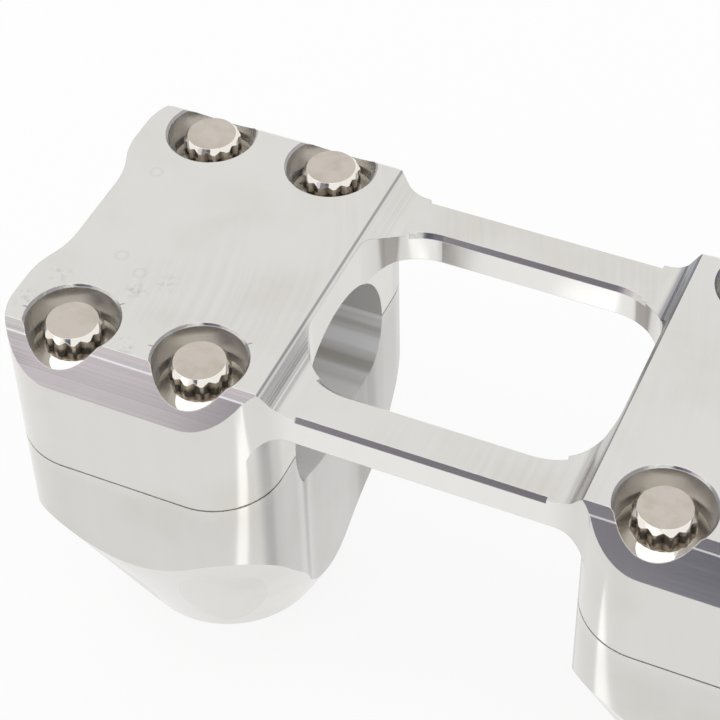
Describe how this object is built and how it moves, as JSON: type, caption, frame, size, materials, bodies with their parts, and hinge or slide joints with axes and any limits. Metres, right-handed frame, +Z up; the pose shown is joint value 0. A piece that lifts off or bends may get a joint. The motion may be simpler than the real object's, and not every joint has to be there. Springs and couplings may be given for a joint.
{
  "type": "handlebar riser",
  "caption": "Pair of machined handlebar risers joined by a one-piece top clamp with crossbars, held by twelve-point flange screws.",
  "frame": {"origin": "bottom centre of the bounding box: midway between the two clamps, in the plane of the seats", "axes": "+X along the handlebar towards the right clamp, +Y to the rear (away from the rider), +Z up"},
  "size_m": [0.1302, 0.0622, 0.0732],
  "materials": {
    "machined_aluminium": "bright as-machined",
    "nickel_steel": "polished nickel plate"
  },
  "bodies": {
    "root": {"top_clamp": "machined_aluminium", "left_riser": "machined_aluminium", "right_riser": "machined_aluminium", "screw_left_front_outer": "nickel_steel", "screw_left_front_inner": "nickel_steel", "screw_left_rear_outer": "nickel_steel", "screw_left_rear_inner": "nickel_steel", "screw_right_front_outer": "nickel_steel", "screw_right_front_inner": "nickel_steel", "screw_right_rear_outer": "nickel_steel", "screw_right_rear_inner": "nickel_steel"}
  },
  "joints": []
}
